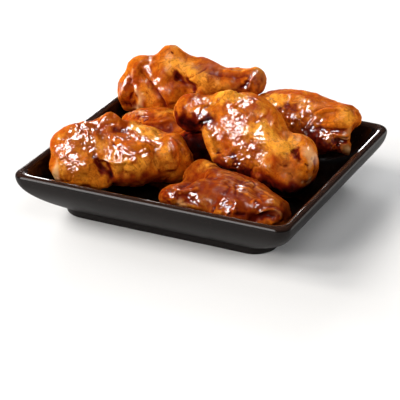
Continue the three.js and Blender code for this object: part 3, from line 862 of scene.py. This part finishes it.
def wandering_lines(corners, normals, draws, count, most_steps):
    """Short lines that wander over the skin from seeded places, as small creases of cooked skin do."""
    tree = KDTree(len(corners))
    for i, spot in enumerate(corners):
        tree.insert(spot, i)
    tree.balance()
    lines = []
    for _ in range(count):
        here = draws.randrange(len(corners))
        heading = Vector([draws.gauss(0, 1) for _ in range(3)])
        line = [corners[here]]
        for _ in range(draws.randrange(FEWEST_STEPS, most_steps)):
            normal = Vector(normals[here])
            heading += Vector([draws.gauss(0, SWAY) for _ in range(3)])
            heading = (heading - normal * heading.dot(normal)).normalized()
            _, here, _ = tree.find(Vector(line[-1]) + heading * STRIDE)
            line.append(corners[here])
        lines.append(line)
    return lines


def fold_weights(corners, normals, strokes, small, draws, sharp):
    """How far the table's folds and the small wandering ones move each corner, as shares of FOLD_HEIGHT."""
    weights = np.zeros(len(corners))
    for width, height, points in strokes:
        weights = np.maximum(weights, along_line(corners, points, width, sharp) * height / FOLD_HEIGHT)
    for line in wandering_lines(corners, normals, draws, small["count"], small["most_steps"]):
        width, height = draws.uniform(*small["widths"]), draws.uniform(*small["heights"])
        weights = np.maximum(weights, along_line(corners, line, width, sharp) * height / FOLD_HEIGHT)
    return weights


def strewn(corners, far, draws, count):
    """Round patches strewn over these corners of the far side."""
    patches = []
    for _ in range(count):
        middle = corners[far[draws.randrange(len(far))]]
        patches.append((draws.uniform(*FAR_RADII), FAR_AMOUNT * draws.uniform(0.5, 1.0), [tuple(middle)]))
    return patches


def neighbour_mean(values, edges, share):
    """Each corner's value drawn part of the way to the mean of its neighbours."""
    count = len(values)
    total = np.column_stack([
        np.bincount(edges[:, 0], values[edges[:, 1], k], count)
        + np.bincount(edges[:, 1], values[edges[:, 0], k], count) for k in range(values.shape[1])])
    degree = np.bincount(edges.ravel(), minlength=count)[:, None]
    return values + share * (total / np.maximum(degree, 1) - values)


def hollows(piece):
    """How deep each corner lies in a crease: 0.5 on open skin, near 1 in a hollow, near 0 on a crest."""
    edges = np.empty(len(piece.data.edges) * 2, int)
    piece.data.edges.foreach_get("vertices", edges)
    edges = edges.reshape(-1, 2)
    normals = normals_of(piece)
    corners = corners_of(piece)
    smooth = corners
    depth = 0.5
    for passes, reach in HOLLOWS:
        for _ in range(passes):
            smooth = neighbour_mean(smooth, edges, HOLLOW_SHARE)
        depth = depth + ((smooth - corners) * normals).sum(1) / reach * 0.5
    return np.clip(depth, 0, 1)


def paint(piece, name, channels):
    """A colour attribute on the corners, which the skin's material reads."""
    layer = piece.data.color_attributes.new(name, "FLOAT_COLOR", "POINT")
    values = np.ones((len(piece.data.vertices), 4))
    for k, channel in enumerate(channels):
        values[:, k] = channel
    layer.data.foreach_set("color", values.ravel())


def clay_copy(name, drags):
    """The frame's solid as clay: its faces joined, pulled about, and smoothed over fine even faces."""
    wing = bpy.data.objects.new("glazed_" + name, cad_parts[name].data.copy())
    bpy.context.scene.collection.objects.link(wing)
    wing.data.materials.clear()
    pick(wing)
    bpy.ops.object.mode_set(mode="EDIT")
    bpy.ops.mesh.select_mode(type="VERT")
    bpy.ops.mesh.select_all(action="SELECT")
    bpy.ops.mesh.remove_doubles(threshold=0.01 * MM)
    bpy.ops.object.mode_set(mode="OBJECT")
    drag_clay(wing, drags)
    apply_modifier(wing, "REMESH", mode="VOXEL", voxel_size=SKIN_VOXEL)
    apply_modifier(wing, "SMOOTH", factor=0.5, iterations=10)
    apply_modifier(wing, "SUBSURF", levels=1, render_levels=1)
    return wing


def drag_clay(wing, drags):
    """Pulls the clay of a wing about, as with a finger: (place, how far around it follows, shift)."""
    for place, reach, shift in drags:
        bpy.ops.object.mode_set(mode="EDIT")
        bpy.ops.mesh.select_all(action="DESELECT")
        bpy.ops.object.mode_set(mode="OBJECT")
        nearest = int(np.argmin(np.linalg.norm(corners_of(wing) - place, axis=1)))
        wing.data.vertices[nearest].select = True
        bpy.ops.object.mode_set(mode="EDIT")
        bpy.ops.transform.translate(value=[part * MM for part in shift], use_proportional_edit=True,
                                    proportional_edit_falloff="SMOOTH", proportional_size=reach * MM)
        bpy.ops.object.mode_set(mode="OBJECT")


def crease(wing, rise, sink, pebble):
    """Lifts the folds, sinks the creases, and puckers the skin, most where it is pebbled."""
    folds, creases = weigh(wing, "folds", rise), weigh(wing, "creases", sink)
    height = FOLD_HEIGHT * MM
    apply_modifier(wing, "DISPLACE", vertex_group=folds, strength=height, mid_level=0)
    apply_modifier(wing, "DISPLACE", vertex_group=creases, strength=-height, mid_level=0)
    apply_modifier(wing, "SMOOTH", factor=0.5, iterations=1)
    emboss(wing, "wavy skin", "CLOUDS", size=8, height=1.1, noise_depth=1)
    rumpled = weigh(wing, "rumpled", 0.35 + 0.65 * pebble)
    emboss(wing, "rumpled skin", "CLOUDS", size=2.4, height=0.9, group=rumpled, noise_depth=1)
    puckered = weigh(wing, "puckered", 0.05 + 0.95 * pebble)
    emboss(wing, "puckered skin", "VORONOI", size=2.1, height=-0.8, level=0.35, group=puckered)
    for group in list(wing.vertex_groups):
        wing.vertex_groups.remove(group)


def paint_skin(wing, details):
    """Paints what the skin's material reads: the sauce with painted shade on the undersides, the fat and dry
    skin, the relief, and the finish with pale skin that is in places painted sheen.
    """
    corners = corners_of(wing)
    fat, sauce_and_shade, tan, wet, pale_and_sheen = (
        in_patches(corners, details[kind]) for kind in ("fat", "sauce_and_shade", "tan", "wet", "pale_and_sheen"))
    pebble = in_patches(corners, details["pebble"], PEBBLE_SPREAD)
    # the sauce has run down and pooled on what faces the dish, and this also paints shade on the undersides
    pooled_and_shaded = POOL_AND_SHADE_MOST * np.clip((POOL_AND_SHADE_FROM - normals_of(wing)[:, 2]) / POOL_AND_SHADE_OVER, 0, 1)
    sauce_and_shade = np.maximum(details["glaze"] + (1 - details["glaze"]) * sauce_and_shade, pooled_and_shaded)
    paint(wing, "tones", [fat * (1 - pooled_and_shaded), sauce_and_shade, tan])
    paint(wing, "relief", [hollows(wing), pebble])
    paint(wing, "finish_and_sheen", [wet, pale_and_sheen])


def make_wing(name, details, number, material):
    """One wing: its frame solid as clay, then creased, puckered and painted."""
    details = located(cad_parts[name], details)
    wing = clay_copy(name, details["drags"])
    corners, normals = corners_of(wing), normals_of(wing)
    draws = random.Random(FOLD_SEED + number)
    rise = fold_weights(corners, normals, details["ridges"], SMALL_FOLDS, draws, sharp=False)
    sink = fold_weights(corners, normals, details["grooves"], SMALL_CREASES, draws, sharp=True)
    far = np.nonzero(normals @ np.array(VIEW_BACK) < FAR_FACING)[0]
    for kind, count in FAR_PATCHES.items():
        details[kind] += strewn(corners, far, draws, count)
    crease(wing, rise, sink, in_patches(corners, details["pebble"], PEBBLE_SPREAD))
    paint_skin(wing, details)
    wing.data.materials.append(material)
    pick(wing)
    bpy.ops.object.shade_smooth()
    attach(wing, "root")
    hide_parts(name)
    return wing


def glazed_skin():
    """Chicken skin baked and brushed with a sweet sauce: translucent amber, golden over the fat, with the
    sauce red-brown where it is thick, painted shade darkening it to nearly black in the creases and on the
    undersides, pale where stretched with painted sheen in places, and wet with syrup in patches."""
    material, shader = new_material("Baked chicken skin, syrup glazed")
    mix, smooth = {"data_type": "RGBA"}, {"interpolation_type": "SMOOTHSTEP"}
    place = add_node(material, "ShaderNodeTexCoord")["Object"]
    channels = []
    for name in ("tones", "relief", "finish_and_sheen"):
        painted = add_node(material, "ShaderNodeAttribute", {"attribute_name": name})["Color"]
        channels.extend(add_node(material, "ShaderNodeSeparateColor", inputs={"Color": painted}))
    fat, sauce_and_shade, tan, hollow, pebble, _, wet, pale_and_sheen, _ = channels
    noises = []
    for size_mm, detail, roughness, distortion in (
        (15, 4.0, 0.5, 0.6),
        (4.5, 5.0, 0.6, 0.5),
        (1.3, 3.0, 0.5, 0.0),
        (2.2, 2.0, 0.5, 0.0),
        (3.2, 4.0, 0.6, 1.2),
        (1.8, 1.0, 0.5, 0.0),
    ):
        noises.append(add_node(material, "ShaderNodeTexNoise", inputs={
            "Vector": place, "Scale": 1 / (size_mm * MM), "Detail": detail, "Roughness": roughness,
            "Distortion": distortion})["Fac"])
    broad, patchy, fine, freckly, blots, fine_pores = noises
    sums = []
    # the hollows deepen the sauce: painted shade in the creases
    for noise, share, base in (
        (patchy, 0.5, fat), (fine, 0.5, tan), (hollow, 0.8, sauce_and_shade), (patchy, 1.0, wet), (pebble, 0.8, 0.2),
    ):
        sums.append(add_node(material, "ShaderNodeMath", {"operation": "MULTIPLY_ADD"}, {
            0: noise, 1: share, 2: base})["Value"])
    fatty, dryness, sauce_and_crease_shade, film, puckered = sums
    sauce_and_shade_depth = add_node(material, "ShaderNodeMath", {"operation": "MULTIPLY_ADD"}, {
        0: patchy, 1: 0.5, 2: sauce_and_crease_shade})["Value"]
    spots = add_node(material, "ShaderNodeMath", {"operation": "MULTIPLY"}, {
        0: freckly, 1: fine})["Value"]

    # the baked skin and what lies on it, from the inside out: (its cause, from, to, most, colour)
    colour = linear("#aa440a")
    for cause, start, full, most, hex_colour in (
        (broad, 0.35, 0.65, 1.0, "#d06c12"),  # amber
        (patchy, 0.42, 0.75, 0.6, "#e48a20"),  # lighter in patches
        (fatty, 0.2, 1.5, 1.0, "#f4a233"),  # golden over the fat
        (fine, 0.42, 0.66, 0.26, "#94380a"),  # finely browned between its pores
        (blots, 0.47, 0.67, 0.6, "#8e2c06"),  # stained in blots where the sauce soaked in
        (dryness, 0.3, 1.4, 0.85, "#8f5f34"),  # dry tan skin and bone
        (pale_and_sheen, 0.05, 1.1, 1.0, "#eab277"),  # stretched pale skin, and in places painted sheen and highlights
        (sauce_and_shade_depth, 0.95, 1.75, 1.0, "#721a08"),  # sauce, darker with painted shade in the creases and on the undersides
        (sauce_and_shade_depth, 1.5, 2.3, 1.0, "#1c0407"),  # sauce where it lies thick, and painted shade nearly black in the creases
        (spots, 0.36, 0.48, 0.25, "#5c1c08"),  # freckles
    ):
        share = add_node(material, "ShaderNodeMapRange", smooth, {
            "Value": cause, "From Min": start, "From Max": full, "To Max": most})["Result"]
        colour = add_node(material, "ShaderNodeMix", mix, {
            "Factor": share, "A": colour, "B": linear(hex_colour)})["Result"]

    # syrup in patches over greasy skin, drier on the bare patches
    filmed = add_node(material, "ShaderNodeMapRange", smooth, {
        "Value": film, "From Min": 0.56, "From Max": 0.95, "To Min": 0.012})["Result"]
    rough = add_node(material, "ShaderNodeMapRange", smooth, {
        "Value": dryness, "From Min": 0.1, "To Min": 0.34, "To Max": 0.6})["Result"]
    pores = add_node(material, "ShaderNodeMath", {"operation": "MULTIPLY"}, {
        0: fine_pores, 1: puckered})["Value"]
    pitted = add_node(material, "ShaderNodeBump", inputs={
        "Strength": 1.0, "Distance": 0.65 * MM, "Height": pores})["Normal"]
    rumples = add_node(material, "ShaderNodeBump", inputs={
        "Strength": 0.3, "Distance": 0.3 * MM, "Height": patchy, "Normal": pitted})["Normal"]
    feed(material, shader, {
        "Base Color": colour, "Roughness": rough, "Normal": rumples, "IOR": 1.4, "Specular IOR Level": 0.007,
        "Coat Weight": filmed, "Coat Normal": rumples, "Coat Roughness": 0.04, "Coat IOR": 1.5,
        "Subsurface Weight": 0.2, "Subsurface Radius": (1.0, 0.35, 0.12), "Subsurface Scale": 2 * MM})
    return material


# ---------------------------------------------------------------- assembly

add_camera()
add_studio()
dish = make_dish()
dish.data.materials.append(black_glaze())
skin = glazed_skin()
wings = [make_wing(name, details, number, skin) for number, (name, details) in enumerate(WINGS.items())]
add_softboxes("lit dish", DISH_SOFTBOXES, [dish])
add_softboxes("lit wings", WING_SOFTBOXES, wings)

pick_none()
